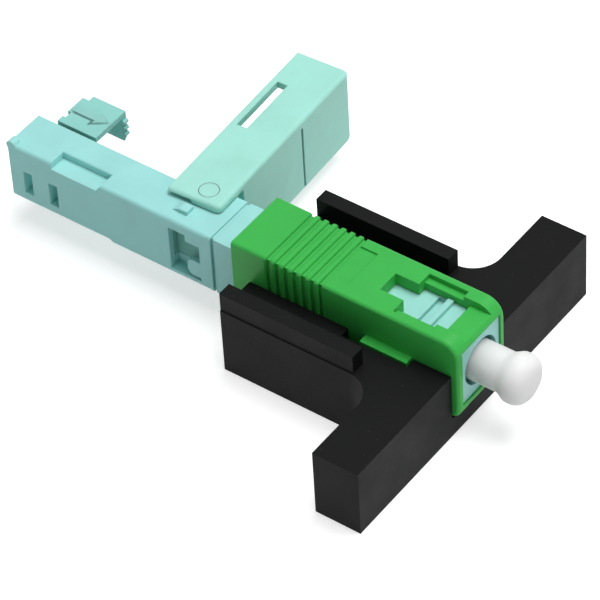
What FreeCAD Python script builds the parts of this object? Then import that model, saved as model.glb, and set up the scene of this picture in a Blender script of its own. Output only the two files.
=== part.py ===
import FreeCAD, Part
import math
import os
import Sketcher

os.makedirs("parts", exist_ok=True)

doc = FreeCAD.newDocument("fibre_connector")
Vector = FreeCAD.Vector

# The frame: millimetres, +X towards the ferrule tip, +Z up. The origin lies on
# the underside of the opener, straight below the ferrule axis.

# Every driving dimension, in millimetres or degrees. Each goes into the sheet
# under its own alias, and all that follows is bound to those cells.
SIZES = {
    # The outer housing, which is gripped: the standard 7.4 by 9.0 section.
    "axis_height": 6.8,
    "housing_front": 12.0,
    "housing_length": 25.0,
    "housing_width": 7.4,
    "housing_height": 9.0,
    "housing_edge_radius": 0.35,
    "housing_nose_radius": 1.8,
    "housing_chin_radius": 1.0,
    "housing_travel": 1.6,
    "slide_clearance": 0.06,
    "end_clearance": 0.15,

    # Its grip: a smooth rear block, then ridges with a valley on each side.
    "grip_start": 3.9,
    "grip_depth": 0.27,
    "ridge_count": 6,
    "ridge_pitch": 0.98,
    "valley_width": 0.42,
    "ridge_rounding": 0.13,

    # The shallow place for a label, in front of the grip.
    "label_rear": 10.0,
    "label_length": 2.1,
    "label_width": 4.8,
    "label_depth": 0.18,

    # Its latch windows, above and below, and the thin bridge in front of them.
    # Places along the windows, the key and the latch bars are from the nose back.
    "window_rear": 10.1,
    "window_shoulder": 7.55,
    "window_front": 2.6,
    "window_narrow": 2.44,
    "window_wide": 4.2,
    "window_ledge_width": 5.74,
    "window_ledge_depth": 0.5,
    "window_ledge_front": 3.3,
    "bridge_depth": 0.72,

    # Its key, on the near side.
    "key_rear": 10.1,
    "key_length": 5.1,
    "key_height": 1.6,
    "key_stand": 0.95,

    # The plug frame inside the housing.
    "frame_width": 5.9,
    "frame_height": 6.3,
    "frame_setback": 0.15,
    "frame_length": 20.7,
    "frame_bore": 4.9,
    "frame_web": 0.6,
    "latch_bar_rear": 4.9,
    "latch_bar_length": 0.6,
    "latch_hollow_length": 1.0,
    "latch_hollow_depth": 0.4,
    "latch_bar_width": 4.0,
    "latch_bar_height": 0.4,

    # The ferrule and the collar that carries it.
    "ferrule_diameter": 2.5,
    "ferrule_length": 9.0,
    "ferrule_stand": 0.35,
    "ferrule_angle": 8.0,
    "ferrule_chamfer": 0.3,
    "fibre_diameter": 0.125,
    "fibre_gap": 0.01,
    "collar_diameter": 4.6,
    "collar_length": 2.8,
    "hub_diameter": 3.3,
    "hub_bore": 0.9,
    "ferrule_travel": 1.5,
    "web_clearance": 0.25,

    # The ferrule spring.
    "spring_wire": 0.42,
    "spring_mean": 4.0,
    "spring_turns": 4,

    # The splice holder, a long carrier that joins the frame and the body.
    "holder_width": 4.7,
    "holder_height": 4.4,
    "holder_clearance": 0.05,
    "holder_behind": 3.2,
    "holder_lip": 0.6,

    # The splice: two halves that a metal clip presses together.
    "splice_ahead": 6.85,
    "splice_length": 9.4,
    "splice_width": 2.7,
    "splice_height": 2.6,
    "splice_gap": 0.16,
    "lid_split": 0.15,
    "guide_diameter": 2.8,
    "guide_length": 4.2,
    "guide_hole": 0.32,
    "stub_bore": 0.9,
    "clip_thickness": 0.25,
    "clip_set_in": 0.3,
    "splice_seat_clearance": 0.06,

    # The main body: a neck inside the housing, a block and an open cable channel.
    "neck_exposed": 3.0,
    "neck_inset": 0.1,
    "body_length": 24.0,
    "body_width": 6.1,
    "body_rise": 2.9,
    "body_drop": 3.95,
    "body_edge_radius": 0.4,
    "tail_edge_radius": 0.25,
    "channel_length": 15.6,
    "channel_wall": 1.1,
    "channel_roof": 1.1,
    "channel_floor": 0.8,
    "channel_setback": 1.35,
    "channel_setback_end": 17.2,
    "tail_lift": 0.25,
    "tail_lift_length": 11.6,
    "groove_width": 0.3,
    "groove_depth": 0.22,
    "viewing_back": 1.4,
    "viewing_length": 3.5,
    "viewing_height": 5.1,
    "viewing_rise": 1.8,
    "tab_width": 1.7,
    "tab_set_in": 0.15,
    "tab_height": 0.8,
    "sight_depth": 0.5,
    "coring_back": 1.7,
    "coring_width": 1.05,
    "coring_height": 2.7,
    "coring_pitch": 3.05,
    "recess_back": 5.3,
    "recess_length": 5.9,
    "recess_width": 1.95,
    "recess_depth": 0.75,
    "recess_ramp": 0.55,
    "bead_radius": 0.5,
    "bead_length": 0.9,
    "fibre_way": 1.8,
    "tooth_back": 3.0,
    "tooth_pitch": 0.95,
    "tooth_height": 0.5,
    "tooth_half_base": 0.4,

    # The tail cover, which swings about an upright pivot.
    "pivot_back": 3.4,
    "pivot_side": 1.5,
    "pivot_radius": 0.95,
    "pivot_clearance": 0.05,
    "cover_plate": 0.75,
    "cover_gap": 0.1,
    "cover_wall": 0.6,
    "cover_reach": 20.45,
    "cover_heel": 1.65,
    "cover_lap": 3.5,
    "wall_start": 2.3,
    "cover_edge_radius": 0.4,
    "cover_lean": 3.0,
    "plate_slot_start": 8.9,
    "plate_slot_length": 7.0,
    "plate_slot_width": 1.15,
    "plate_slot_side": 1.7,

    # The cable clamp lid, hinged along the body's far upper edge.
    "clamp_back": 2.05,
    "clamp_width": 4.6,
    "clamp_knuckle": 0.38,
    "clamp_pin": 0.2,
    "clamp_inset": 0.9,
    "clamp_drop": 1.0,
    "clamp_plate": 0.6,
    "clamp_reach": 4.6,
    "clamp_flange": 2.4,
    "ear_width": 0.45,
    "ear_inset": 0.2,
    "clamp_clearance": 0.08,

    # The dust cap over the ferrule.
    "cap_neck": 4.04,
    "cap_knob": 5.0,
    "cap_depth": 3.2,
    "cap_stand": 2.75,
    "cap_knob_length": 2.7,
    "cap_flare": 0.9,
    "cap_round": 1.3,
    "cap_grip": 0.01,

    # The opener: a T-shaped block whose stem holds the housing.
    "stem_margin": 1.3,
    "stem_half_width": 8.35,
    "block_height": 7.5,
    "rail_inset": 0.1,
    "rail_thickness": 1.5,
    "rail_height": 2.1,
    "rail_length": 14.8,
    "bar_setback": 0.7,
    "bar_thickness": 4.9,
    "bar_half_span": 18.15,
    "bar_fillet": 3.0,
    "opener_clearance": 0.12,
    "wedge_set_in": 1.7,
    "wedge_spacing": 4.6,
    "wedge_length": 1.6,
    "wedge_thickness": 0.6,
    "wedge_slot_clearance": 0.25,
}

sheet = doc.addObject("Spreadsheet::Sheet", "dims")
for row, (alias, value) in enumerate(SIZES.items(), 1):
    sheet.set("A%d" % row, str(value))
    sheet.setAlias("A%d" % row, alias)
doc.recompute()


def num(expression):
    """The value of an expression over the sheet, as a plain float."""
    value = sheet.evalExpression(expression)
    return float(getattr(value, "Value", value))


def new_body(name):
    body = doc.addObject("PartDesign::Body", name)
    body.Label = name
    return body


def origin_plane(body, role):
    return [f for f in body.Origin.OriginFeatures if f.Role == role][0]


def origin_axis(body, role):
    return [f for f in body.Origin.OriginFeatures if f.Role == role][0]


def new_sketch(body, name, role, offset):
    """A sketch on one of the body's own origin planes, moved along its normal."""
    sketch = body.newObject("Sketcher::SketchObject", name)
    sketch.AttachmentSupport = (origin_plane(body, role), [""])
    sketch.MapMode = "FlatFace"
    sketch.setExpression("AttachmentOffset.Base.z", offset)
    return sketch


def pin_point(sketch, geometry, position, across, up):
    """Tie one point of a sketch to the sketch's origin by two expressions."""
    index = sketch.addConstraint(
        Sketcher.Constraint("DistanceX", -1, 1, geometry, position, num(across)))
    sketch.setExpression("Constraints[%d]" % index, across)
    index = sketch.addConstraint(
        Sketcher.Constraint("DistanceY", -1, 1, geometry, position, num(up)))
    sketch.setExpression("Constraints[%d]" % index, up)


def draw_polygon(sketch, points):
    first = sketch.GeometryCount
    places = [Vector(num(a), num(b), 0) for a, b in points]
    count = len(points)
    for i in range(count):
        sketch.addGeometry(Part.LineSegment(places[i], places[(i + 1) % count]), False)
    for i in range(count):
        following = first + (i + 1) % count
        sketch.addConstraint(Sketcher.Constraint("Coincident", first + i, 2, following, 1))
        pin_point(sketch, first + i, 1, *points[i])


def draw_rectangle(sketch, left, right, low, high):
    draw_polygon(sketch, [(left, low), (right, low), (right, high), (left, high)])


def draw_circle(sketch, across, up, radius):
    centre = Vector(num(across), num(up), 0)
    index = sketch.addGeometry(Part.Circle(centre, Vector(0, 0, 1), num(radius)), False)
    constraint = sketch.addConstraint(Sketcher.Constraint("Radius", index, num(radius)))
    sketch.setExpression("Constraints[%d]" % constraint, radius)
    pin_point(sketch, index, 3, across, up)


def prism(body, kind, name, role, outlines, low, high):
    """Pad or pocket the outlines from low to high along the plane's world axis."""
    offset = "-(%s)" % high if role == "XZ_Plane" else low
    sketch = new_sketch(body, name + "_outline", role, offset)
    for outline in outlines:
        if len(outline) == 3 and isinstance(outline[0], str):
            draw_circle(sketch, *outline)
        elif len(outline) == 4 and isinstance(outline[0], str):
            draw_rectangle(sketch, *outline)
        else:
            draw_polygon(sketch, outline)
    before = body.Shape.Volume if kind == "Pocket" else 0.0
    feature = body.newObject("PartDesign::" + kind, name)
    feature.Profile = sketch
    feature.Reversed = kind == "Pocket"
    feature.setExpression("Length", "(%s) - (%s)" % (high, low))
    doc.recompute()
    if kind == "Pocket" and not body.Shape.Volume < before - 1e-6:
        raise RuntimeError(name + " removes nothing")
    return feature


def edge_names(shape, wanted):
    """Names of the edges whose middle point and direction satisfy the test."""
    names = []
    for i, edge in enumerate(shape.Edges):
        a = edge.Vertexes[0].Point
        b = edge.Vertexes[-1].Point
        if wanted((a + b) * 0.5, b - a):
            names.append("Edge%d" % (i + 1))
    return names


def dress(body, kind, name, radius, wanted):
    """Round or bevel the chosen edges of the body's last feature."""
    doc.recompute()
    base = body.Tip
    names = edge_names(base.Shape, wanted)
    if not names:
        raise RuntimeError(name + " finds no edge")
    feature = body.newObject("PartDesign::" + kind, name)
    feature.Base = (base, names)
    feature.setExpression("Radius" if kind == "Fillet" else "Size", radius)
    doc.recompute()
    return feature


def repeat(body, feature, name, role, pitch, count):
    """A row of the feature along one of the body's own axes."""
    pattern = body.newObject("PartDesign::LinearPattern", name)
    pattern.Originals = [feature]
    pattern.Direction = (origin_axis(body, role), [""])
    pattern.Mode = "Spacing"
    pattern.setExpression("Offset", pitch)
    pattern.setExpression("Occurrences", count)
    body.Tip = pattern
    doc.recompute()
    return pattern


def near(value, expression, reach=0.01):
    return abs(value - num(expression)) < reach


# Places that several pieces share, as expressions over the sheet.
axis = "dims.axis_height"
clear = "dims.slide_clearance"
nose = "dims.housing_front"
heel = "(dims.housing_front - dims.housing_length)"
half_w = "(dims.housing_width / 2)"
top = "(dims.axis_height + dims.housing_height / 2)"
bottom = "(dims.axis_height - dims.housing_height / 2)"
frame_front = "(dims.housing_front - dims.frame_setback)"
frame_rear = "(dims.housing_front - dims.frame_setback - dims.frame_length)"
frame_half = "(dims.frame_width / 2)"
frame_top = "(dims.axis_height + dims.frame_height / 2)"
frame_bottom = "(dims.axis_height - dims.frame_height / 2)"
neck_front = "(%s - dims.end_clearance)" % frame_rear
shoulder = "(%s - dims.neck_exposed)" % heel
tail = "(%s - dims.body_length)" % shoulder
body_half = "(dims.body_width / 2)"
body_top = "(dims.axis_height + dims.body_rise)"
body_bottom = "(dims.axis_height - dims.body_drop)"
neck_half = frame_half
neck_top = "(%s - dims.neck_inset)" % body_top
neck_bottom = "(%s + dims.neck_inset)" % body_bottom
holder_half = "(dims.holder_width / 2)"
holder_top = "(dims.axis_height + dims.holder_height / 2)"
holder_bottom = "(dims.axis_height - dims.holder_height / 2)"
channel_front = "(%s + dims.channel_length)" % tail
splice_front = "(%s + dims.splice_ahead)" % frame_rear
splice_rear = "(%s - dims.splice_length)" % splice_front
splice_middle = "(%s - dims.splice_length / 2)" % splice_front
holder_front = "(%s + dims.holder_lip)" % splice_front
holder_rear = "(%s + dims.holder_behind)" % channel_front
wedge_first = "(%s + dims.wedge_set_in)" % splice_rear
wedge_last = "(%s + dims.wedge_spacing + dims.wedge_length)" % wedge_first
wedge_half = "(dims.wedge_thickness / 2)"
slot_half = "(%s + dims.wedge_slot_clearance)" % wedge_half
wedge_way_rear = "(%s - dims.wedge_slot_clearance)" % wedge_first
wedge_way_front = "(%s + dims.wedge_slot_clearance)" % wedge_last


def from_heel(expression):
    """A place on the housing, measured forwards from its rear face."""
    return "(%s + %s)" % (heel, expression)


def from_nose(expression):
    """A place on the housing, measured backwards from its front face."""
    return "(%s - %s)" % (nose, expression)


# Outer housing: a sleeve with two latch windows, a grip and a key.
housing = new_body("outer_housing")
prism(housing, "Pad", "sleeve", "YZ_Plane",
      [("-" + half_w, half_w, bottom, top)], heel, nose)
dress(housing, "Fillet", "nose_round", "dims.housing_nose_radius",
      lambda m, d: near(m.x, nose) and abs(d.y) > 1 and near(m.z, top))
dress(housing, "Fillet", "chin_round", "dims.housing_chin_radius",
      lambda m, d: near(m.x, nose) and abs(d.y) > 1 and near(m.z, bottom))
dress(housing, "Fillet", "edge_round", "dims.housing_edge_radius",
      lambda m, d: near(abs(m.y), half_w) and m.x > num(heel) + 1)

# The grip: a ring-shaped valley, cut round all four sides and repeated, so that
# a ridge stands between each two; then the edges of the ridges are rounded.
grip_rear = from_heel("dims.grip_start")
grip_half = "(dims.housing_width / 2 - dims.grip_depth)"
grip_top = "(%s - dims.grip_depth)" % top
grip_bottom = "(%s + dims.grip_depth)" % bottom
valley = prism(housing, "Pocket", "grip_valley", "YZ_Plane",
               [("-" + half_w + " - 1", half_w + " + 1", bottom + " - 1", top + " + 1"),
                ("-" + grip_half, grip_half, grip_bottom, grip_top)],
               grip_rear, grip_rear + " + dims.valley_width")
repeat(housing, valley, "grip_valleys", "X_Axis", "dims.ridge_pitch", "dims.ridge_count + 1")


def on_ridge(m, d):
    """Whether an edge runs along the outer corner of a ridge, on any side."""
    along = m.x - num(grip_rear)
    step = num("dims.ridge_pitch")
    if not (-0.01 < along < step * num("dims.ridge_count") + 0.01) or abs(d.x) > 0.001:
        return False
    place = along % step
    if min(abs(place - num("dims.valley_width")), place, step - place) > 0.01:
        return False
    side = num(half_w) - abs(m.y)
    rise = num("dims.housing_height / 2") - abs(m.z - num(axis))
    return min(side, rise) < 0.3 * num("dims.grip_depth") or max(side, rise) < 0.45


dress(housing, "Chamfer", "ridge_edge", "dims.ridge_rounding", on_ridge)

# The shallow place for a label, left bare.
label_rear = from_heel("dims.label_rear")
prism(housing, "Pocket", "label_place", "XY_Plane",
      [(label_rear, label_rear + " + dims.label_length",
        "-dims.label_width / 2", "dims.label_width / 2")],
      top + " - dims.label_depth", top + " + 1")

# Inside: a close fit on the plug frame, and more height at the rear for the neck.
step = "(%s + dims.housing_travel + 2 * dims.end_clearance)" % frame_rear
prism(housing, "Pocket", "frame_cavity", "YZ_Plane",
      [("-%s - %s" % (frame_half, clear), "%s + %s" % (frame_half, clear),
        "%s - %s" % (frame_bottom, clear), "%s + %s" % (frame_top, clear))],
      heel + " - 1", nose + " + 1")
prism(housing, "Pocket", "neck_cavity", "YZ_Plane",
      [("-%s - %s" % (neck_half, clear), "%s + %s" % (neck_half, clear),
        "%s - %s" % (neck_bottom, clear), frame_top)],
      heel + " - 1", step)

# A window above and one below, each with a ledge down both long sides.
narrow = "(dims.window_narrow / 2)"
wide = "(dims.window_wide / 2)"
ledge = "(dims.window_ledge_width / 2)"
window_rear = from_nose("dims.window_rear")
window_shoulder = from_nose("dims.window_shoulder")
window_front = from_nose("dims.window_front")
ledge_front = from_nose("dims.window_ledge_front")
window = [(window_rear, "-" + narrow), (window_shoulder, "-" + narrow),
          (window_shoulder, "-" + wide), (window_front, "-" + wide),
          (window_front, wide), (window_shoulder, wide),
          (window_shoulder, narrow), (window_rear, narrow)]
for side, low, high in (("upper", axis, top + " + 1"), ("lower", bottom + " - 1", axis)):
    prism(housing, "Pocket", side + "_window", "XY_Plane", [window], low, high)
for side, low, high in (
        ("upper", top + " - dims.window_ledge_depth", top + " + 1"),
        ("lower", bottom + " - 1", bottom + " + dims.window_ledge_depth")):
    prism(housing, "Pocket", side + "_ledge", "XY_Plane",
          [(window_shoulder, ledge_front, "-" + ledge, ledge)], low, high)
for side, low, high in (
        ("upper", top + " - dims.bridge_depth", top + " + 1"),
        ("lower", bottom + " - 1", bottom + " + dims.bridge_depth")):
    prism(housing, "Pocket", side + "_bridge", "XY_Plane",
          [(window_front + " - 0.1", nose + " + 1", "-" + wide, wide)], low, high)

# The slot below, through which the wedges reach the splice.
prism(housing, "Pocket", "wedge_slot", "XY_Plane",
      [(wedge_way_rear, wedge_way_front + " + dims.housing_travel", "-" + slot_half, slot_half)],
      bottom + " - 1", axis)

key_rear = from_nose("dims.key_rear")
key_front = "(%s + dims.key_length)" % key_rear
prism(housing, "Pad", "key", "YZ_Plane",
      [("-%s - dims.key_stand" % half_w, "-" + half_w,
        axis + " - dims.key_height / 2", axis + " + dims.key_height / 2")],
      key_rear, key_front)


# Plug frame: the inner shell that an adapter's hooks catch.
frame = new_body("plug_frame")
prism(frame, "Pad", "shell", "YZ_Plane",
      [("-" + frame_half, frame_half, frame_bottom, frame_top)], frame_rear, frame_front)
bar_rear = from_nose("dims.latch_bar_rear")
bar_front = "(%s + dims.latch_bar_length)" % bar_rear
prism(frame, "Pad", "latch_bars", "XY_Plane",
      [(bar_rear, bar_front, "-dims.latch_bar_width / 2", "dims.latch_bar_width / 2")],
      frame_bottom + " - dims.latch_bar_height", frame_top + " + dims.latch_bar_height")
for side, low, high in (
        ("upper", frame_top + " - dims.latch_hollow_depth", frame_top),
        ("lower", frame_bottom, frame_bottom + " + dims.latch_hollow_depth")):
    prism(frame, "Pocket", side + "_hollow", "XY_Plane",
          [(bar_rear + " - dims.latch_hollow_length", bar_rear,
            "-dims.latch_bar_width / 2", "dims.latch_bar_width / 2")], low, high)
collar_front = "(%s + dims.ferrule_stand - dims.ferrule_length" \
               " + 0.6 * dims.collar_length)" % nose
prism(frame, "Pocket", "front_bore", "YZ_Plane",
      [("0", axis, "dims.frame_bore / 2")], collar_front + " + dims.frame_web",
      frame_front + " + 1")
prism(frame, "Pocket", "web_hole", "YZ_Plane",
      [("0", axis, "dims.ferrule_diameter / 2 + dims.web_clearance")],
      collar_front + " - 1", frame_front)
prism(frame, "Pocket", "collar_bore", "YZ_Plane",
      [("0", axis, "dims.collar_diameter / 2 + " + clear)],
      holder_front, collar_front)
prism(frame, "Pocket", "holder_cavity", "YZ_Plane",
      [("-%s - dims.holder_clearance" % holder_half, holder_half + " + dims.holder_clearance",
        holder_bottom + " - dims.holder_clearance",
        holder_top + " + dims.holder_clearance")],
      frame_rear + " - 1", holder_front + " + dims.holder_clearance")
prism(frame, "Pocket", "wedge_way", "XY_Plane",
      [(frame_rear + " - 1", wedge_way_front, "-" + slot_half, slot_half)],
      frame_bottom + " - 1", axis)


# Main body: neck, block with the two pivot bosses, and the open cable channel.
body = new_body("main_body")
step_x = "(%s + dims.tail_lift_length)" % tail
prism(body, "Pad", "block", "XZ_Plane",
      [[(tail, body_bottom + " + dims.tail_lift"), (step_x, body_bottom + " + dims.tail_lift"),
        (step_x + " + 2 * dims.tail_lift", body_bottom), (shoulder, body_bottom),
        (shoulder, body_top), (tail, body_top)]], "-" + body_half, body_half)
dress(body, "Fillet", "long_edges", "dims.body_edge_radius",
      lambda m, d: abs(d.x) > 0.3 and near(abs(m.y), body_half))
dress(body, "Fillet", "tail_edges", "dims.tail_edge_radius", lambda m, d: near(m.x, tail))
prism(body, "Pad", "neck", "YZ_Plane",
      [("-" + neck_half, neck_half, neck_bottom, neck_top)], shoulder + " - 0.5", neck_front)
prism(body, "Pocket", "parting_groove", "YZ_Plane",
      [("-" + body_half + " - 1", body_half + " + 1", body_bottom + " - 1", body_top + " + 1"),
       ("-%s + dims.groove_depth" % neck_half, neck_half + " - dims.groove_depth",
        neck_bottom + " + dims.groove_depth", neck_top + " - dims.groove_depth / 3")],
      shoulder, shoulder + " + dims.groove_width")

channel_near = "(dims.channel_wall - dims.body_width / 2)"
channel_floor = "(%s + dims.channel_floor)" % body_bottom
channel_far = "(%s - dims.channel_setback)" % body_half
channel_roof = "(%s - dims.channel_roof)" % body_top
prism(body, "Pocket", "cable_channel", "YZ_Plane",
      [(channel_near, body_half + " + 1", channel_floor, channel_roof)],
      tail + " - 1", channel_front)
prism(body, "Pocket", "channel_side", "XY_Plane",
      [(tail + " - 1", tail + " + dims.channel_setback_end", channel_far,
        body_half + " + 1")],
      body_bottom + " - 1", body_top + " + 1")
prism(body, "Pocket", "holder_cavity", "YZ_Plane",
      [("-%s - dims.holder_clearance" % holder_half, holder_half + " + dims.holder_clearance",
        holder_bottom + " - dims.holder_clearance",
        holder_top + " + dims.holder_clearance")],
      holder_rear + " - dims.holder_clearance", neck_front + " + 1")
prism(body, "Pocket", "fibre_way", "YZ_Plane",
      [("0", axis, "dims.fibre_way / 2")], channel_front + " - 1", holder_rear)
prism(body, "Pocket", "wedge_way", "XY_Plane",
      [(wedge_way_rear, neck_front + " + 1", "-" + slot_half, slot_half)],
      neck_bottom + " - 1", axis)

# Near side: the viewing window with its two snap tabs, and two coring slots.
view_front = "(%s - dims.viewing_back)" % shoulder
view_rear = "(%s - dims.viewing_length)" % view_front
view_top = "(dims.axis_height + dims.viewing_rise)"
view_bottom = "(%s - dims.viewing_height)" % view_top
prism(body, "Pocket", "viewing_window", "XZ_Plane",
      [(view_rear, view_front, view_bottom, view_top)],
      "-" + body_half + " - 1", "dims.sight_depth - " + holder_half)
tab_back = "-%s - dims.holder_clearance" % holder_half
tab_front = "-(%s - dims.tab_set_in)" % body_half
prism(body, "Pad", "upper_tab", "XZ_Plane",
      [(view_front + " - dims.tab_width", view_front + " + 0.1",
        view_top + " - 0.15 - dims.tab_height", view_top + " - 0.15")], tab_front, tab_back)
prism(body, "Pad", "lower_tab", "XZ_Plane",
      [(view_front + " - 0.95 * dims.tab_width", view_front + " + 0.1",
        view_bottom + " + 0.2", view_bottom + " + 0.2 + 2.4 * dims.tab_height")],
      tab_front, tab_back)
dress(body, "Fillet", "tab_round", "0.4 * dims.tab_width",
      lambda m, d: near(m.x, view_front + " - 0.95 * dims.tab_width") and abs(d.y) > 0.2
      and m.z < num(axis))
slot = prism(body, "Pocket", "coring_slot", "XZ_Plane",
             [(tail + " + dims.coring_back", tail + " + dims.coring_back + dims.coring_width",
               axis + " + 0.15 - dims.coring_height", axis + " + 0.15")],
             "-" + body_half + " - 1", channel_near)
repeat(body, slot, "coring_slots", "X_Axis", "dims.coring_pitch", "2")

# The finger recess on top, and the round bead at the tail's upper corner.
recess_rear = "(%s + dims.recess_back)" % tail
recess_front = "(%s + dims.recess_length)" % recess_rear
prism(body, "Pocket", "finger_recess", "XZ_Plane",
      [[(recess_rear, body_top + " - dims.recess_depth"),
        (recess_front + " - dims.recess_ramp", body_top + " - dims.recess_depth"),
        (recess_front, body_top), (recess_front, body_top + " + 1"),
        (recess_rear, body_top + " + 1")]],
      "-" + body_half + " - 1", "dims.recess_width - %s" % body_half)
dress(body, "Fillet", "recess_round", "dims.recess_depth / 4",
      lambda m, d: near(m.y, "dims.recess_width - " + body_half) and near(m.z, body_top)
      and abs(d.x) > 1)
prism(body, "Pad", "tail_bead", "XZ_Plane",
      [(tail + " + dims.bead_radius", body_top + " - 0.1", "dims.bead_radius")],
      "-" + body_half, "dims.bead_length - %s" % body_half)

# Pivot bosses for the tail cover, above and below, and the detent beside it.
pivot_x = "(%s - dims.pivot_back)" % shoulder
pivot_y = "dims.pivot_side"
cover_top = "(%s + dims.cover_gap + dims.cover_plate)" % body_top
cover_bottom = "(%s - dims.cover_gap - dims.cover_plate)" % body_bottom
prism(body, "Pad", "upper_pivot", "XY_Plane",
      [(pivot_x, pivot_y, "dims.pivot_radius")], body_top + " - 0.2", cover_top)
prism(body, "Pad", "lower_pivot", "XY_Plane",
      [(pivot_x, pivot_y, "dims.pivot_radius")], cover_bottom, body_bottom + " + 0.2")
prism(body, "Pad", "cover_detent", "XZ_Plane",
      [[(pivot_x + " - 1.9", body_top + " - 0.2"), (pivot_x + " - 0.2", body_top + " - 0.2"),
        (pivot_x + " - 0.2", body_top + " + 0.4"), (pivot_x + " - 1.1", body_top + " + 0.4"),
        (pivot_x + " - 1.9", body_top)]],
      pivot_y + " - 3.2", pivot_y + " - 2.15")

# The hinge of the clamp lid: two ears beyond the far upper edge, with a pin between.
clamp_rear = "(%s + dims.clamp_back)" % tail
clamp_front = "(%s + dims.clamp_width)" % clamp_rear
hinge_y = "(%s - dims.clamp_inset)" % body_half
hinge_z = "(%s - dims.clamp_drop)" % body_top
ear = "(dims.clamp_knuckle - dims.clamp_clearance)"
ear_in = "(dims.ear_inset + dims.ear_width)"
for name, low, high in (
        ("rear_ear", clamp_rear + " + dims.ear_inset", clamp_rear + " + " + ear_in),
        ("front_ear", clamp_front + " - " + ear_in, clamp_front + " - dims.ear_inset")):
    prism(body, "Pad", name, "YZ_Plane",
          [(channel_far + " - 0.2", hinge_y, "%s - %s" % (hinge_z, ear),
            "%s + %s" % (hinge_z, ear))], low, high)
    prism(body, "Pad", name + "_end", "YZ_Plane", [(hinge_y, hinge_z, ear)], low, high)
prism(body, "Pad", "hinge_pin", "YZ_Plane", [(hinge_y, hinge_z, "dims.clamp_pin")],
      clamp_rear + " + dims.ear_inset", clamp_front + " - dims.ear_inset")

# Teeth on the channel's near wall, which bite the cable's jacket.
tooth_x = "(%s + dims.tooth_back)" % tail
tooth = prism(body, "Pad", "cable_tooth", "XY_Plane",
              [[(tooth_x + " - dims.tooth_half_base", channel_near),
                (tooth_x, channel_near + " + dims.tooth_height"),
                (tooth_x + " + dims.tooth_half_base", channel_near)]],
              channel_floor, channel_roof)
repeat(body, tooth, "cable_teeth", "X_Axis", "dims.tooth_pitch", "4")


# Tail cover, drawn open: a channel section that closes over the tail.
cover = new_body("tail_cover")
wall_in = "(%s + %s - dims.pivot_side + dims.cover_gap)" % (pivot_x, body_half)
wall_out = "(%s + dims.cover_wall)" % wall_in
cover_edge = "(%s - dims.cover_lap)" % pivot_x
cover_near = "(dims.pivot_side - dims.cover_heel)"
cover_far = "(dims.pivot_side + dims.cover_reach)"
inner_top = "(%s + dims.cover_gap)" % body_top
inner_bottom = "(%s - dims.cover_gap)" % body_bottom
prism(cover, "Pad", "block", "XY_Plane",
      [(cover_edge, wall_out, cover_near, cover_far)], cover_bottom, cover_top)
dress(cover, "Fillet", "heel_round", "0.5",
      lambda m, d: near(m.y, cover_near) and near(m.x, wall_out) and abs(d.z) > 1)
dress(cover, "Fillet", "far_round", "0.7",
      lambda m, d: near(m.y, cover_far) and near(m.z, cover_bottom) and abs(d.x) > 1)
dress(cover, "Fillet", "corner_round", "dims.cover_edge_radius",
      lambda m, d: near(m.x, wall_out) and (near(m.z, cover_top) and abs(d.y) > 1
      or near(m.y, cover_far) and abs(d.z) > 1))
prism(cover, "Pocket", "inside", "XZ_Plane",
      [(cover_edge + " - 1", wall_in, inner_bottom, inner_top)],
      cover_near + " - 1", cover_far + " + 1")
prism(cover, "Pocket", "wall_start", "XZ_Plane",
      [(wall_in + " - 1", wall_out + " + 1", inner_bottom, inner_top)],
      cover_near + " - 1", "dims.pivot_side + dims.wall_start")
prism(cover, "Pocket", "pivot_hole", "XY_Plane",
      [(pivot_x, pivot_y, "dims.pivot_radius + dims.pivot_clearance")],
      cover_bottom + " - 1", cover_top + " + 1")
prism(cover, "Pocket", "plate_slot", "XY_Plane",
      [(pivot_x + " - dims.plate_slot_side - dims.plate_slot_width",
        pivot_x + " - dims.plate_slot_side", pivot_y + " + dims.plate_slot_start",
        pivot_y + " + dims.plate_slot_start + dims.plate_slot_length")],
      axis, cover_top + " + 1")
prism(cover, "Pocket", "wall_groove", "YZ_Plane",
      [(pivot_y + " + 12.1", pivot_y + " + 12.4", cover_bottom + " + 0.3",
        cover_top + " - 0.9")], wall_out + " - 0.25", wall_out + " + 1")

# The arc track that the detent runs in as the cover swings.
track = new_sketch(cover, "track_outline", "XZ_Plane", "-dims.pivot_side")
draw_rectangle(track, pivot_x + " - 3.85", pivot_x + " - 1.85", inner_top + " - 0.5",
               inner_top + " + 0.38")
pivot_line = cover.newObject("PartDesign::Line", "pivot_line")
pivot_line.setExpression("Placement.Base.x", pivot_x)
pivot_line.setExpression("Placement.Base.y", pivot_y)
swing = cover.newObject("PartDesign::Groove", "detent_track")
swing.Profile = track
swing.ReferenceAxis = (pivot_line, [""])
swing.Angle = 160
swing.Midplane = True

# It stands a little beyond square: the whole piece is turned about the pivot.
lean = "(dims.cover_lean * 1deg)"
cover.Placement = FreeCAD.Placement(Vector(), FreeCAD.Rotation(Vector(0, 0, 1), 1))
cover.setExpression("Placement.Rotation.Angle", lean)
cover.setExpression("Placement.Base.x", "%s * (1 - cos(%s)) + %s * sin(%s)"
                    % (pivot_x, lean, pivot_y, lean))
cover.setExpression("Placement.Base.y", "%s * (1 - cos(%s)) - %s * sin(%s)"
                    % (pivot_y, lean, pivot_x, lean))


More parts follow.
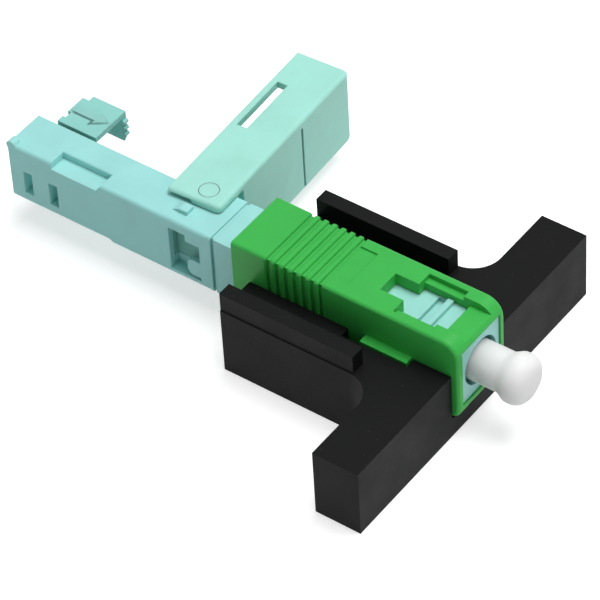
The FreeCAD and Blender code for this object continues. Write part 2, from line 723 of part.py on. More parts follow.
# Cable clamp lid, drawn open: knuckle between the ears, plate and hanging flange.
clamp = new_body("cable_clamp_lid")
plate_low = "(%s + dims.clamp_knuckle - 0.03)" % hinge_z
plate_high = "(%s + dims.clamp_plate)" % plate_low
clamp_far = "(%s + dims.clamp_reach)" % hinge_y
prism(clamp, "Pad", "plate", "YZ_Plane",
      [[(hinge_y, plate_low), (clamp_far + " - dims.clamp_plate", plate_low),
        (clamp_far + " - dims.clamp_plate", hinge_z + " - dims.clamp_flange"),
        (clamp_far + " - 0.4", hinge_z + " - dims.clamp_flange"),
        (clamp_far, hinge_z + " - dims.clamp_flange + 0.4"), (clamp_far, plate_high),
        (hinge_y, plate_high)]], clamp_rear, clamp_front)
knuckle_rear = "(%s + %s + dims.clamp_clearance)" % (clamp_rear, ear_in)
knuckle_front = "(%s - %s - dims.clamp_clearance)" % (clamp_front, ear_in)
prism(clamp, "Pad", "knuckle", "YZ_Plane", [(hinge_y, hinge_z, "dims.clamp_knuckle")],
      knuckle_rear, knuckle_front)
prism(clamp, "Pad", "knuckle_web", "YZ_Plane",
      [(hinge_y, hinge_y + " + dims.clamp_knuckle", hinge_z, plate_low + " + 0.1")],
      knuckle_rear, knuckle_front)
prism(clamp, "Pocket", "pin_hole", "YZ_Plane",
      [(hinge_y, hinge_z, "dims.clamp_pin + " + clear)], clamp_rear + " - 1",
      clamp_front + " + 1")
prism(clamp, "Pocket", "corner_notches", "XY_Plane",
      [(clamp_rear + " - 1", clamp_rear + " + 0.75", clamp_far + " - 0.7", clamp_far + " + 1"),
       (clamp_rear + " - 1", clamp_rear + " + 0.35", hinge_y + " + 0.8",
        hinge_y + " + 1.6")], plate_low + " - 5", plate_high + " + 1")
hook = prism(clamp, "Pad", "flange_tooth", "XZ_Plane",
             [(clamp_front, hinge_z + " - 0.15", "0.26")], clamp_far + " - dims.clamp_plate",
             clamp_far)
hooks = clamp.newObject("PartDesign::LinearPattern", "flange_teeth")
hooks.Originals = [hook]
hooks.Direction = (origin_axis(clamp, "Z_Axis"), [""])
hooks.Reversed = True
hooks.Mode = "Spacing"
hooks.Offset = 0.75
hooks.Occurrences = 3
clamp.Tip = hooks


# Dust cap: a sleeve on the ferrule with a round knob to pull.
tip = "(dims.housing_front + dims.ferrule_stand)"
cap_rear = "(dims.housing_front - dims.cap_depth)"
knob_rear = "(dims.housing_front + dims.cap_stand)"
knob_front = "(%s + dims.cap_knob_length)" % knob_rear


def turned(name, outline, roundings=()):
    """A body turned about the ferrule axis from an outline of (x, radius) points."""
    piece = new_body(name)
    sketch = new_sketch(piece, name + "_outline", "XZ_Plane", "0")
    draw_polygon(sketch, [(x, "%s + %s" % (axis, radius)) for x, radius in outline])
    line = piece.newObject("PartDesign::Line", name + "_axis")
    line.Placement = FreeCAD.Placement(Vector(), FreeCAD.Rotation(Vector(0, 1, 0), 90))
    line.setExpression("Placement.Base.z", axis)
    turn = piece.newObject("PartDesign::Revolution", name + "_turn")
    turn.Profile = sketch
    turn.ReferenceAxis = (line, [""])
    turn.Angle = 360
    doc.recompute()
    for label, x, radius, size_of in roundings:
        dress(piece, "Fillet", label, size_of,
              lambda m, d: near(m.x, x)
              and near(math.hypot(m.y, m.z - num(axis)), radius))
    return piece


bore = "(dims.ferrule_diameter / 2)"
turned("dust_cap",
       [(cap_rear, bore + " + dims.cap_grip"), (cap_rear, "dims.cap_neck / 2"),
        (knob_rear, "dims.cap_neck / 2"), (knob_rear + " + dims.cap_flare", "dims.cap_knob / 2"),
        (knob_front, "dims.cap_knob / 2"), (knob_front, "0"),
        (tip + " + 0.6", "0"), (tip + " + 0.6", bore + " + dims.cap_grip")],
       [("knob_front_round", knob_front, "dims.cap_knob / 2", "dims.cap_round"),
        ("knob_rear_round", knob_rear + " + dims.cap_flare", "dims.cap_knob / 2", "0.8"),
        ("knob_root", knob_rear, "dims.cap_neck / 2", "0.6")])

# Ferrule: a ceramic rod with a chamfered nose and an end face at an angle.
ferrule_rear = "(%s - dims.ferrule_length)" % tip
fibre_hole = "(dims.fibre_diameter / 2 + dims.fibre_gap)"
ferrule = turned("ferrule",
                 [(ferrule_rear, fibre_hole), (ferrule_rear, bore),
                  (tip + " - dims.ferrule_chamfer", bore),
                  (tip, bore + " - dims.ferrule_chamfer"), (tip, fibre_hole)])
fall = "tan(dims.ferrule_angle * 1deg)"
prism(ferrule, "Pocket", "angled_end", "XZ_Plane",
      [[(tip, axis), (tip + " + 1", axis), (tip + " + 1", axis + " + dims.ferrule_diameter"),
        (tip + " - dims.ferrule_diameter * " + fall, axis + " + dims.ferrule_diameter")]],
      "-dims.ferrule_diameter", "dims.ferrule_diameter")

# Ferrule collar: the flange that the spring pushes, with a hub to centre the spring.
collar_rear = "(%s - dims.collar_length)" % collar_front
hub_rear = "(%s + dims.ferrule_travel + dims.end_clearance)" % holder_front
turned("ferrule_collar",
       [(hub_rear, "dims.hub_bore / 2"), (hub_rear, "dims.hub_diameter / 2"),
        (collar_rear, "dims.hub_diameter / 2"), (collar_rear, "dims.collar_diameter / 2"),
        (collar_front, "dims.collar_diameter / 2"), (collar_front, bore),
        (ferrule_rear, bore), (ferrule_rear, "dims.hub_bore / 2")])

# Fibre stub: bonded in the ferrule, its bare rear end lying in the splice.
stub = new_body("fibre_stub")
prism(stub, "Pad", "glass", "YZ_Plane", [("0", axis, "dims.fibre_diameter / 2")],
      splice_middle, tip + " - 0.02")


# Spring: a plain coil between the holder's front face and the collar.
coil = doc.addObject("Part::Helix", "coil_path")
coil.setExpression("Radius", "dims.spring_mean / 2")
coil_start = "(%s + dims.spring_wire / 2 + 0.02)" % holder_front
coil_end = "(%s - dims.spring_wire / 2 - 0.02)" % collar_rear
coil.setExpression("Pitch", "(%s - %s) / dims.spring_turns" % (coil_end, coil_start))
coil.setExpression("Height", "%s - %s" % (coil_end, coil_start))
coil.Placement = FreeCAD.Placement(Vector(), FreeCAD.Rotation(Vector(0, 1, 0), 90))
coil.setExpression("Placement.Base.x", coil_start)
coil.setExpression("Placement.Base.z", axis)
wire = doc.addObject("Part::RegularPolygon", "coil_wire")
wire.Polygon = 8
wire.setExpression("Circumradius", "dims.spring_wire / 2")
wire.Placement = FreeCAD.Placement(Vector(), FreeCAD.Rotation(Vector(1, 0, 0), 90))
wire.setExpression("Placement.Base.x", coil_start)
wire.setExpression("Placement.Base.z", axis + " - dims.spring_mean / 2")
spring = doc.addObject("Part::Sweep", "ferrule_spring")
spring.Label = "ferrule_spring"
doc.recompute()
spring.Sections = [wire]
spring.Spine = (coil, [])
spring.Solid = True
spring.Frenet = True
spring.Placement = FreeCAD.Placement()


# Splice holder: a long block with a chamber, a slot below and a bore each way.
holder = new_body("splice_holder")
seat = "dims.splice_seat_clearance"
clip_half = "(dims.splice_width / 2 + dims.clip_thickness + 2 * %s)" % seat
splice_low = "(dims.axis_height - dims.splice_height / 2)"
splice_high = "(dims.axis_height + dims.splice_height / 2)"
prism(holder, "Pad", "block", "YZ_Plane",
      [("-" + holder_half, holder_half, holder_bottom, holder_top)],
      holder_rear, holder_front)
prism(holder, "Pocket", "chamber", "XY_Plane",
      [(splice_rear + " - " + seat, splice_front + " + " + seat,
        "-" + clip_half, clip_half)], splice_low + " - " + seat, holder_top + " + 1")
prism(holder, "Pocket", "wedge_way", "XY_Plane",
      [(wedge_way_rear, wedge_way_front, "-" + slot_half, slot_half)],
      holder_bottom + " - 1", axis)
prism(holder, "Pocket", "stub_bore", "YZ_Plane", [("0", axis, "dims.stub_bore / 2")],
      splice_front + " - 1", holder_front + " + 1")
guide_half = "(dims.guide_diameter / 2)"
prism(holder, "Pocket", "guide_seat", "YZ_Plane",
      [("0", axis, guide_half + " + " + seat)], holder_rear + " - 1", splice_rear + " + 0.5")

prism(holder, "Pocket", "sight_recess", "XZ_Plane",
      [(view_rear, view_front, holder_bottom + " - 1", view_top)],
      "-" + holder_half + " - 1", "dims.sight_depth - " + holder_half)

# Fibre guide: a funnel that leads the field fibre into the splice.
guide_rear = "(%s - dims.guide_length)" % splice_rear
turned("fibre_guide",
       [(guide_rear, guide_half + " - 0.3"), (guide_rear, guide_half),
        (splice_rear + " - 2 * " + seat, guide_half),
        (splice_rear + " - 2 * " + seat, "dims.guide_hole / 2"),
        (splice_rear + " - 1.2", "dims.guide_hole / 2")])

# Splice base: the half with the V-groove. It and the lids have a bevelled mouth
# below, where a wedge's tip stands between them.
face = "(dims.splice_gap / 2)"
splice_half = "(dims.splice_width / 2)"
mouth = axis + " - dims.splice_height / 2"
mouth_top = axis + " - dims.splice_height / 5"


def splice_half_outline(side):
    """One half in section; side is 1 or -1 for the far or the near one."""
    return [("%d * %s" % (side, face), splice_high), ("%d * %s" % (side, splice_half), splice_high),
            ("%d * %s" % (side, splice_half), splice_low),
            ("%d * (%s + 0.45)" % (side, face), mouth), ("%d * %s" % (side, face), mouth_top)]


base = new_body("splice_base")
prism(base, "Pad", "half", "YZ_Plane", [splice_half_outline(-1)],
      splice_rear, splice_front)
prism(base, "Pocket", "vee_groove", "YZ_Plane",
      [[("-" + face + " + 0.02", axis + " + 0.12"), ("-" + face + " - 0.1", axis),
        ("-" + face + " + 0.02", axis + " - 0.12")]], splice_rear, splice_front)
for name, low, high in (
        ("splice_lid_front", splice_middle + " + dims.lid_split / 2", splice_front),
        ("splice_lid_rear", splice_rear, splice_middle + " - dims.lid_split / 2")):
    lid = new_body(name)
    prism(lid, "Pad", "half", "YZ_Plane", [splice_half_outline(1)], low, high)

# Splice clip: folded spring sheet over the top of both halves.
clip = new_body("splice_clip")
clip_in = "(%s + %s)" % (splice_half, seat)
clip_out = "(%s + dims.clip_thickness)" % clip_in
clip_under = "(%s + %s)" % (splice_high, seat)
clip_over = "(%s + dims.clip_thickness)" % clip_under
clip_low = "(%s + dims.clip_set_in)" % splice_low
prism(clip, "Pad", "fold", "YZ_Plane",
      [[("-" + clip_out, clip_low), ("-" + clip_in, clip_low), ("-" + clip_in, clip_under),
        (clip_in, clip_under), (clip_in, clip_low), (clip_out, clip_low),
        (clip_out, clip_over), ("-" + clip_out, clip_over)]],
      splice_rear + " + dims.clip_set_in", splice_front + " - dims.clip_set_in")
dress(clip, "Fillet", "bends", "0.2",
      lambda m, d: near(m.z, clip_over) and near(abs(m.y), clip_out) and abs(d.x) > 1)


# Opener: a T-shaped block. Its stem has a channel for the housing, a rail each
# side and, on the channel's floor, the wedges that hold the splice open.
opener = new_body("opener")
stem_half = "dims.stem_half_width"
span = "dims.bar_half_span"
bar_front_x = "(dims.housing_front - dims.bar_setback)"
bar_rear_x = "(%s - dims.bar_thickness)" % bar_front_x
stem_rear = "(%s - dims.stem_margin)" % wedge_first
prism(opener, "Pad", "tee", "XY_Plane",
      [[(stem_rear, "-" + stem_half), (bar_rear_x, "-" + stem_half),
        (bar_rear_x, "-" + span), (bar_front_x, "-" + span), (bar_front_x, span),
        (bar_rear_x, span), (bar_rear_x, stem_half), (stem_rear, stem_half)]],
      "0", "dims.block_height")
dress(opener, "Fillet", "root_fillets", "dims.bar_fillet",
      lambda m, d: near(m.x, bar_rear_x) and near(abs(m.y), stem_half) and abs(d.z) > 1)
rail_out = "(dims.stem_half_width - dims.rail_inset)"
rail_in = "(%s - dims.rail_thickness)" % rail_out
prism(opener, "Pad", "rails", "XY_Plane",
      [(stem_rear, stem_rear + " + dims.rail_length", rail_in, rail_out),
       (stem_rear, stem_rear + " + dims.rail_length", "-" + rail_out, "-" + rail_in)],
      "dims.block_height - 0.5", "dims.block_height + dims.rail_height")
floor = "(%s - dims.opener_clearance / 2)" % bottom
channel_half = "(%s + dims.opener_clearance)" % half_w
prism(opener, "Pocket", "channel", "YZ_Plane",
      [("-" + channel_half, channel_half, floor, "dims.block_height + 10")],
      stem_rear + " - 1", bar_front_x + " + 1")
prism(opener, "Pocket", "keyway", "XY_Plane",
      [(key_rear + " - dims.housing_travel - 2 * dims.opener_clearance",
        key_front + " + 2 * dims.opener_clearance",
        "-%s - dims.key_stand - 2 * dims.opener_clearance" % half_w, "0")],
      axis + " - dims.key_height / 2 - 2 * dims.opener_clearance", "dims.block_height + 1")
wedge = prism(opener, "Pad", "wedge", "YZ_Plane",
              [[("-" + wedge_half, floor + " - 0.5"), (wedge_half, floor + " - 0.5"),
                (wedge_half, mouth), ("0.09", axis + " - dims.splice_height / 4"),
                ("-0.09", axis + " - dims.splice_height / 4"), ("-" + wedge_half, mouth)]],
              wedge_first, wedge_first + " + dims.wedge_length")
repeat(opener, wedge, "wedges", "X_Axis", "dims.wedge_spacing", "2")


# Check every object, then write each piece to its own file.
doc.recompute()
for thing in doc.Objects:
    if "Invalid" in thing.State or "Error" in thing.State:
        raise RuntimeError(thing.Name + " failed: " + str(thing.State))
pieces = [o for o in doc.Objects if o.TypeId == "PartDesign::Body"] + [spring]
for piece in pieces:
    shape = piece.Shape
    if shape.isNull() or not shape.isValid() or len(shape.Solids) != 1:
        raise RuntimeError(piece.Label + " is not one valid solid")
    shape.exportStep("parts/%s.step" % piece.Label)
    box = shape.BoundBox
    print("%-18s %8.2f mm3  x %.2f %.2f  y %.2f %.2f  z %.2f %.2f"
          % (piece.Label, shape.Volume, box.XMin, box.XMax, box.YMin, box.YMax,
             box.ZMin, box.ZMax))
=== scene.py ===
import math

import bpy
from mathutils import Matrix, Vector


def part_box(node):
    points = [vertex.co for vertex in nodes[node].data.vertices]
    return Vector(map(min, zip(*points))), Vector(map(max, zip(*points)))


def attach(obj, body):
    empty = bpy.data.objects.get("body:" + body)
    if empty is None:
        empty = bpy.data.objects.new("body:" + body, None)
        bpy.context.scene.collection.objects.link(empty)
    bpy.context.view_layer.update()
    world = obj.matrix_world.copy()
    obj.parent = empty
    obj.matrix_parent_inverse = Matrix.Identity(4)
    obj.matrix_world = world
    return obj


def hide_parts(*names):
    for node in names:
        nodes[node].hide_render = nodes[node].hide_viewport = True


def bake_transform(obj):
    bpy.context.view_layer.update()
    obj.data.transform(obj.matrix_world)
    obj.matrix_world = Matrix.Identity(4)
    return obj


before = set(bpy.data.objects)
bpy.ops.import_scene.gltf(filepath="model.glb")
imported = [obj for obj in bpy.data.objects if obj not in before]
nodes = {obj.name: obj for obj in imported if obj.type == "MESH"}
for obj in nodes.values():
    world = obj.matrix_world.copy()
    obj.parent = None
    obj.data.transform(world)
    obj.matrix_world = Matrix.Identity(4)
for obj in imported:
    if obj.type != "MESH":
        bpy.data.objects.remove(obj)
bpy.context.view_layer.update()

scene = bpy.context.scene
MM = 0.001


# Camera: a long lens, looking down from the front and the near side, rolled a little.
AZIMUTH, ELEVATION, ROLL = math.radians(-51.42), math.radians(44.1), math.radians(-3.68)
FOCAL_PX, FRAME_PX = 4000.0, 600.0      # the lens and the picture's side, in pixels
AIM = Vector((-0.5, 0.0, 8.3)) * MM     # a point of the object
AIM_PX = (367.24, 295.06)               # the pixel that shows that point
DISTANCE = 361.9 * MM                   # how far that point lies along the view
SENSOR = 36.0                           # its width in millimetres
NEAREST, FARTHEST = 0.01, 20.0          # clipping, in metres

to_camera = Vector((math.cos(ELEVATION) * math.cos(AZIMUTH),
                    math.cos(ELEVATION) * math.sin(AZIMUTH), math.sin(ELEVATION)))
forward = -to_camera
right = forward.cross(Vector((0, 0, 1))).normalized()
down = -right.cross(forward)
c, s = math.cos(ROLL), math.sin(ROLL)
right, down = right * c - down * s, right * s + down * c
offset = (right * ((AIM_PX[0] - FRAME_PX / 2) / FOCAL_PX)
          + down * ((AIM_PX[1] - FRAME_PX / 2) / FOCAL_PX) + forward) * DISTANCE
camera_data = bpy.data.cameras.new("camera")
camera_data.sensor_width = SENSOR
camera_data.lens = FOCAL_PX / FRAME_PX * SENSOR
camera_data.clip_start = NEAREST
camera_data.clip_end = FARTHEST
camera = bpy.data.objects.new("camera", camera_data)
scene.collection.objects.link(camera)
turn = Matrix((right, -down, -forward)).transposed()
camera.matrix_world = Matrix.Translation(AIM - offset) @ turn.to_4x4()
scene.camera = camera
scene.view_settings.view_transform = "Standard"


# Shader helpers. A value is a number, a colour or another node's output.
def linear(r, g, b):
    """A colour given as it looks on a screen, 0 to 255, as the shader wants it."""
    out = []
    for v in (r, g, b):
        v = v / 255
        out.append(v / 12.92 if v <= 0.04045 else ((v + 0.055) / 1.055) ** 2.4)
    return (*out, 1.0)


def feed(nt, value, socket):
    if isinstance(value, bpy.types.NodeSocket):
        nt.links.new(value, socket)
    else:
        socket.default_value = value


def node(nt, kind, **values):
    """A new node. Each value goes to the socket of that name, or to the setting."""
    made = nt.nodes.new(kind)
    for key, value in values.items():
        if key in made.inputs:
            feed(nt, value, made.inputs[key])
        else:
            setattr(made, key, value)
    return made


def calc(nt, operation, *values):
    made = node(nt, "ShaderNodeMath", operation=operation)
    for value, socket in zip(values, made.inputs):
        feed(nt, value, socket)
    return made.outputs[0]


def span(nt, value, start, end, low=0.0, high=1.0):
    """Carries start..end over to low..high, and holds the value beyond them."""
    limits = {"From Min": start, "From Max": end, "To Min": low, "To Max": high}
    return node(nt, "ShaderNodeMapRange", Value=value, **limits).outputs[0]


def mix(nt, factor, first, second, blend_type="MIX"):
    made = node(nt, "ShaderNodeMix", data_type="RGBA", blend_type=blend_type)
    for name, value in (("Factor", factor), ("A", first), ("B", second)):
        feed(nt, value, made.inputs[name])
    return made.outputs["Result"]


def bump(nt, height, strength, distance, **normal):
    made = node(nt, "ShaderNodeBump", Height=height, Strength=strength, Distance=distance,
                **normal)
    return made.outputs[0]


def material(name):
    made = bpy.data.materials.new(name)
    made.use_nodes = True
    return made, made.node_tree


# Stage: a pale floor that shows white, and soft light from above.
FLOOR_REACH, FLOOR_LEVEL = 1.2, -0.02 * MM
FLOOR_COLOUR, FLOOR_GLOW = (0.72, 0.72, 0.72, 1), 0.60
WORLD_LIGHT = 0.22
WHITE = (1, 1, 1)
LIGHTS = (  # name, place, target and size in metres, power in watts, colour
    ("key", (0.10, 0.12, 0.62), (0, 0, 0), (0.46, 0.42), 3.7, WHITE),
    ("side", (0.55, -0.10, 0.22), (0, 0, 0.005), (0.35, 0.25), 0.30, WHITE),
    ("low", (-0.40, -0.45, 0.10), (0, 0, 0.005), (0.26, 0.12), 0.12, (0.90, 1.08, 0.99)),
)


def seen_directly(nt):
    """1 where a camera, glossy or transmission ray looks, 0 for light that bounces."""
    path = node(nt, "ShaderNodeLightPath")
    value = path.outputs["Is Camera Ray"]
    for name in ("Is Glossy Ray", "Is Transmission Ray"):
        value = calc(nt, "MAXIMUM", value, path.outputs[name])
    return value


def stage_floor():
    mesh = bpy.data.meshes.new("floor")
    r, z = FLOOR_REACH, FLOOR_LEVEL
    mesh.from_pydata([(-r, -r, z), (r, -r, z), (r, r, z), (-r, r, z)], [], [(0, 1, 2, 3)])
    floor = bpy.data.objects.new("floor", mesh)
    scene.collection.objects.link(floor)
    mat, nt = material("floor")
    nt.nodes.clear()
    diffuse = node(nt, "ShaderNodeBsdfDiffuse", Color=FLOOR_COLOUR)
    glow = node(nt, "ShaderNodeEmission",
                Strength=calc(nt, "MULTIPLY", seen_directly(nt), FLOOR_GLOW))
    add = node(nt, "ShaderNodeAddShader")
    nt.links.new(diffuse.outputs[0], add.inputs[0])
    nt.links.new(glow.outputs[0], add.inputs[1])
    node(nt, "ShaderNodeOutputMaterial", Surface=add.outputs[0])
    mesh.materials.append(mat)


def stage_world():
    world = bpy.data.worlds.new("studio")
    scene.world = world
    world.use_nodes = True
    nt = world.node_tree
    nt.nodes.clear()
    level = span(nt, seen_directly(nt), 0.0, 1.0, WORLD_LIGHT, 1.0)
    back = node(nt, "ShaderNodeBackground", Strength=level)
    node(nt, "ShaderNodeOutputWorld", Surface=back.outputs[0])


def area_light(name, place, target, size, power, colour):
    data = bpy.data.lights.new(name, "AREA")
    data.shape = "RECTANGLE"
    data.size, data.size_y = size
    data.energy = power
    data.color = colour
    lamp = bpy.data.objects.new(name, data)
    scene.collection.objects.link(lamp)
    lamp.location = place
    lamp.rotation_euler = (Vector(target) - Vector(place)).to_track_quat("-Z", "Y").to_euler()


stage_floor()
stage_world()
for light in LIGHTS:
    area_light(*light)


# Materials. Scales are per metre, and lengths in millimetres.
NOISE_LOW, NOISE_HIGH = 0.3, 0.7        # where most of a noise's values lie
CLOUD_SCALE = 260.0                     # mottling
SPECK_SCALE = 900.0                     # dust, in cells with a spot in some of them
SPECK_EDGE, SPECK_CORE = 0.10, 0.04     # a spot's radii, as a share of its cell
SPECK_COLOUR = (0.30, 0.30, 0.30, 1)
EDGE_ROUNDING = 0.10
EDGE_STARTS, EDGE_FULL = 0.97, 0.78     # cosine between rounded and flat normal
WEAR_AND_HIGHLIGHT_GAIN, WEAR_AND_HIGHLIGHT_LIFT = 1.25, 0.04       # how much paler an edge is, worn and with a painted highlight
# Painted shade in creases: how far it looks for surfaces that close a point in, in
# millimetres.
CREASE_SHADE_REACH = 0.7
CREASE_SHADE_FULL, CREASE_SHADE_STARTS = 0.1, 0.75  # how open the surroundings are, 0 to 1
POLISHED, DULL = 0.05, 0.06             # roughness below and above the one given
WAVE_HEIGHT, WAVE_STRENGTH = 0.05, 0.25
GRAIN_STRENGTH = 0.5
LINE_SCALE = 900.0                      # brushed metal, as the rest is
LINE_SHADE = 0.85
LINE_LOW, LINE_HIGH = 0.08, 0.1         # roughness below and above the one given
LINE_HEIGHT, LINE_STRENGTH = 0.01, 0.3


def plastic(name, colour, roughness, variation=0.04, grain=0.12, height=0.03, wear_and_highlight=0.25,
            wear_and_highlight_colour=None, subsurface=0.0, scatter=WHITE, depth=1.2, gloss=0.45,
            speck=0.0, crease_shade=0.5):
    """Moulded plastic: slight mottling, fine spark-eroded grain, softened edges that are worn
    and carry a painted highlight, and painted shade in creases.
    """
    mat, nt = material(name)
    bsdf = nt.nodes["Principled BSDF"]
    place = node(nt, "ShaderNodeTexCoord").outputs["Object"]
    cloud = node(nt, "ShaderNodeTexNoise", Vector=place, Scale=CLOUD_SCALE,
                 Detail=4.0, Roughness=0.55).outputs["Fac"]
    fine = node(nt, "ShaderNodeTexNoise", Vector=place, Scale=1.0 / (grain * MM),
                Detail=2.0, Roughness=0.5).outputs["Fac"]

    # Colour: base, a little darker and lighter in clouds.
    mottling = span(nt, cloud, NOISE_LOW, NOISE_HIGH, 1 - variation, 1 + variation)
    shade = mix(nt, 1.0, colour, mottling, "MULTIPLY")

    # Worn edges with a painted highlight: paler where the rounded normal leaves the flat one.
    rounded = node(nt, "ShaderNodeBevel", samples=6, Radius=EDGE_ROUNDING * MM).outputs[0]
    dot = node(nt, "ShaderNodeVectorMath", operation="DOT_PRODUCT")
    nt.links.new(rounded, dot.inputs[0])
    nt.links.new(node(nt, "ShaderNodeNewGeometry").outputs["Normal"], dot.inputs[1])
    mask = span(nt, dot.outputs["Value"], EDGE_STARTS, EDGE_FULL, 0.0, wear_and_highlight)
    worn_and_highlighted = tuple(min(1, v * WEAR_AND_HIGHLIGHT_GAIN + WEAR_AND_HIGHLIGHT_LIFT) for v in colour[:3]) + (1,)
    shade = mix(nt, calc(nt, "MULTIPLY", mask, fine), shade, wear_and_highlight_colour or worn_and_highlighted)

    # Dust specks.
    if speck:
        spots = node(nt, "ShaderNodeTexVoronoi", Vector=place, Scale=SPECK_SCALE,
                     Randomness=1.0)
        spot = span(nt, spots.outputs["Distance"], SPECK_EDGE, SPECK_CORE, 0.0, speck)
        shade = mix(nt, spot, shade, SPECK_COLOUR)

    # Painted shade: gaps and inner corners are darkened where other surfaces close them in.
    around = node(nt, "ShaderNodeAmbientOcclusion", samples=8, Distance=CREASE_SHADE_REACH * MM)
    painted_crease_shade = span(nt, around.outputs["AO"], CREASE_SHADE_FULL, CREASE_SHADE_STARTS, 1 - crease_shade)
    shade = mix(nt, 1.0, shade, painted_crease_shade, "MULTIPLY")
    feed(nt, shade, bsdf.inputs["Base Color"])

    # Roughness: patchy, and lower where fingers polish it.
    rough = span(nt, cloud, NOISE_LOW, NOISE_HIGH, roughness - POLISHED, roughness + DULL)
    feed(nt, rough, bsdf.inputs["Roughness"])

    # Surface: spark-eroded grain over a faint waviness from moulding.
    wave = bump(nt, cloud, WAVE_STRENGTH, WAVE_HEIGHT * MM, Normal=rounded)
    skin = bump(nt, fine, GRAIN_STRENGTH, height * MM, Normal=wave)
    feed(nt, skin, bsdf.inputs["Normal"])

    bsdf.inputs["Specular IOR Level"].default_value = gloss
    if subsurface:
        bsdf.inputs["Subsurface Weight"].default_value = subsurface
        bsdf.inputs["Subsurface Radius"].default_value = scatter
        bsdf.inputs["Subsurface Scale"].default_value = depth * MM
    return mat


def metal(name, colour, roughness, along):
    """Drawn or turned metal: brushed lines in bump and roughness."""
    mat, nt = material(name)
    bsdf = nt.nodes["Principled BSDF"]
    place = node(nt, "ShaderNodeTexCoord").outputs["Object"]
    scale = node(nt, "ShaderNodeMapping", Vector=place, Scale=along).outputs[0]
    lines = node(nt, "ShaderNodeTexNoise", Vector=scale, Scale=LINE_SCALE,
                 Detail=4.0).outputs["Fac"]
    tint = node(nt, "ShaderNodeValToRGB", Fac=lines)
    darker = tuple(v * LINE_SHADE for v in colour[:3]) + (1,)
    for stop, position, value in zip(tint.color_ramp.elements, (NOISE_LOW, NOISE_HIGH),
                                     (darker, colour)):
        stop.position, stop.color = position, value
    feed(nt, tint.outputs["Color"], bsdf.inputs["Base Color"])
    rough = span(nt, lines, 0.0, 1.0, roughness - LINE_LOW, roughness + LINE_HIGH)
    feed(nt, rough, bsdf.inputs["Roughness"])
    feed(nt, bump(nt, lines, LINE_STRENGTH, LINE_HEIGHT * MM), bsdf.inputs["Normal"])
    bsdf.inputs["Metallic"].default_value = 1.0
    return mat


TRANSLUCENT = {"subsurface": 0.15, "scatter": (0.7, 1.0, 0.95), "gloss": 0.25}
# The black's pale grey edges are wear and a painted highlight together.
black = plastic("black_plastic", linear(14, 15, 15), 0.52, variation=0.14, grain=0.10,
                height=0.02, wear_and_highlight=0.45, wear_and_highlight_colour=linear(60, 62, 63), speck=0.05,
                gloss=0.10)
aqua = plastic("aqua_body", linear(164, 228, 225), 0.45, crease_shade=0.25, **TRANSLUCENT)
aqua_frame = plastic("aqua_frame", linear(158, 221, 213), 0.40, **TRANSLUCENT)
# The holder's aqua is darker than the body's: painted shade for the deep recess it is seen
# in.
aqua_holder_painted_shade = plastic("aqua_holder_painted_shade", linear(128, 192, 184), 0.45, gloss=0.2)
aqua_cover = plastic("aqua_cover", linear(170, 234, 220), 0.42, **TRANSLUCENT)
aqua_clamp = plastic("aqua_clamp", linear(149, 215, 207), 0.42, **TRANSLUCENT)
green = plastic("green_housing", linear(62, 184, 80), 0.42, variation=0.03,
                subsurface=0.05, scatter=(0.3, 1.0, 0.3), gloss=0.22, crease_shade=0.15)
white = plastic("white_cap", linear(247, 248, 254), 0.40, variation=0.02, height=0.012,
                subsurface=1.0, depth=2.5, gloss=0.25, crease_shade=0.1)
ceramic = plastic("zirconia", linear(240, 238, 232), 0.15, height=0.004, subsurface=0.3)
clear = plastic("clear_plastic", linear(225, 232, 235), 0.2, height=0.006, subsurface=0.4)
glass = plastic("fibre_glass", linear(225, 235, 240), 0.1, height=0.001)
steel = metal("spring_steel", linear(190, 192, 195), 0.28, (1, 1, 30))
collar = metal("collar_metal", linear(200, 200, 198), 0.3, (30, 1, 1))

LOOKS = {
    "opener": black, "main_body": aqua, "plug_frame": aqua_frame, "outer_housing": green,
    "tail_cover": aqua_cover, "cable_clamp_lid": aqua_clamp, "dust_cap": white,
    "ferrule": ceramic, "ferrule_collar": collar, "ferrule_spring": steel,
    "fibre_stub": glass, "splice_holder": aqua_holder_painted_shade, "fibre_guide": clear,
    "splice_base": clear, "splice_lid_front": clear, "splice_lid_rear": clear,
    "splice_clip": steel,
}
for name, look in LOOKS.items():
    for slot in nodes[name].material_slots:
        slot.material = look


# The ferrule's spring closes up, its rear end staying put, as the ferrule is pushed back;
# here a copy of its coils stands in for it, with its transform baked in.
wire = nodes["ferrule_spring"]
coils = bpy.data.objects.new("closing_coils", wire.data.copy())
scene.collection.objects.link(coils)
coils.matrix_world = wire.matrix_world.copy()
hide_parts("ferrule_spring")
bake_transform(coils)


# The upper pivot boss has the cover's tint where it comes through the cover's plate.
# These lengths, and the arrow's below, are in millimetres.
PIVOT_X, PIVOT_Y, PIVOT_RADIUS, TOP_SLACK = -19.4, 1.5, 0.95, 0.05
body = nodes["main_body"]
body.data.materials.append(aqua_cover)
cover_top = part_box("tail_cover")[1][2] / MM
for polygon in body.data.polygons:
    x, y, z = (body.matrix_world @ polygon.center) / MM
    if z > cover_top - TOP_SLACK and math.hypot(x - PIVOT_X, y - PIVOT_Y) < PIVOT_RADIUS:
        polygon.material_index = len(body.data.materials) - 1


# The arrow on the clamp lid. The shut cover leaves it little height, so bump adds to it.
REAR, NECK, TIP, MIDDLE = -37.7, -35.0, -33.8, 4.5    # along X, and the middle line's Y
SLIM, WIDE = 0.45, 0.85                               # half widths of shaft and head
HIGH, BURIED = 0.035, 0.05                            # above and below the lid's top
SLOPE, SHOWN = 0.25, 0.5                              # bump: width of its edge, height
SOFT = 0.5                                            # bevel, as a share of HIGH


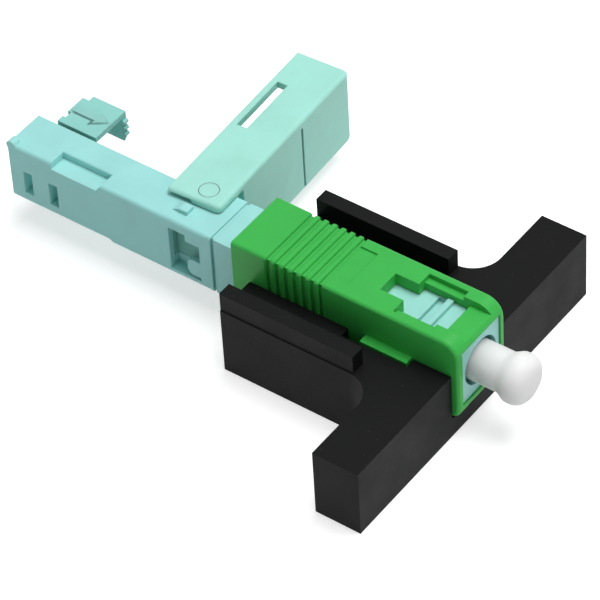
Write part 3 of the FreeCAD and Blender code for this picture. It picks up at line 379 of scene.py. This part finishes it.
def arrow_plate(name, lid, top):
    """A shaft and a triangular head as a thin plate on the lid, in the lid's own frame."""
    to_lid = lid.matrix_world.inverted()
    outline = [(REAR, -SLIM), (NECK, -SLIM), (NECK, -WIDE), (TIP, 0.0), (NECK, WIDE),
               (NECK, SLIM), (REAR, SLIM)]
    count = len(outline)
    points = [to_lid @ (Vector((x, MIDDLE + y, z)) * MM)
              for z in (top - BURIED, top + HIGH) for x, y in outline]
    following = [(i + 1) % count for i in range(count)]
    walls = [(i, j, j + count, i + count) for i, j in enumerate(following)]
    data = bpy.data.meshes.new(name)
    data.from_pydata(points, [], [range(count)[::-1], range(count, 2 * count), *walls])
    piece = bpy.data.objects.new(name, data)
    scene.collection.objects.link(piece)
    piece.matrix_world = lid.matrix_world.copy()
    soften = piece.modifiers.new("soft", "BEVEL")
    soften.width = SOFT * HIGH * MM
    soften.segments = 2
    return piece


def arrow_bump(mat, lid):
    """The same arrow's slopes, as bump on the lid. They fade to the far side and the rear."""
    nt = mat.node_tree
    normal = nt.nodes["Principled BSDF"].inputs["Normal"]
    start = lid.matrix_world.inverted() @ (Vector((REAR, MIDDLE, 0)) * MM)
    length, head = (TIP - REAR) * MM, (TIP - NECK) * MM
    slim, wide, edge = SLIM * MM, WIDE * MM, SLOPE * MM

    place = node(nt, "ShaderNodeTexCoord").outputs["Object"]
    split = node(nt, "ShaderNodeSeparateXYZ", Vector=place)
    along = calc(nt, "SUBTRACT", split.outputs["X"], start.x)
    sideways = calc(nt, "SUBTRACT", split.outputs["Y"], start.y)
    across = calc(nt, "ABSOLUTE", sideways)

    # How far a point lies outside the shaft, and outside the head.
    ends = calc(nt, "MAXIMUM", calc(nt, "MULTIPLY", along, -1.0),
                calc(nt, "SUBTRACT", along, length - head))
    shaft = calc(nt, "MAXIMUM", ends, calc(nt, "SUBTRACT", across, slim))
    slant = math.hypot(head, wide)
    past_tip = calc(nt, "SUBTRACT", along, length)
    side = calc(nt, "ADD", calc(nt, "MULTIPLY", past_tip, wide / slant),
                calc(nt, "MULTIPLY", across, head / slant))
    point = calc(nt, "MAXIMUM", calc(nt, "SUBTRACT", length - head, along), side)

    rise = span(nt, calc(nt, "MINIMUM", shaft, point), edge, 0.0)
    rise = calc(nt, "MULTIPLY", rise, span(nt, sideways, slim, -slim))
    rise = calc(nt, "MULTIPLY", rise, span(nt, along, 0.0, head / 2))
    feed(nt, bump(nt, rise, 1.0, SHOWN * MM, Normal=normal.links[0].from_socket), normal)


lid = nodes["cable_clamp_lid"]
arrow = arrow_plate("clamp_lid_arrow", lid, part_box("cable_clamp_lid")[1][2] / MM)
aqua_arrow = aqua_clamp.copy()      # without the bump that the lid's material gets next
aqua_arrow.name = "aqua_arrow"
arrow.data.materials.append(aqua_arrow)
arrow_bump(aqua_clamp, lid)
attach(arrow, "clamp")
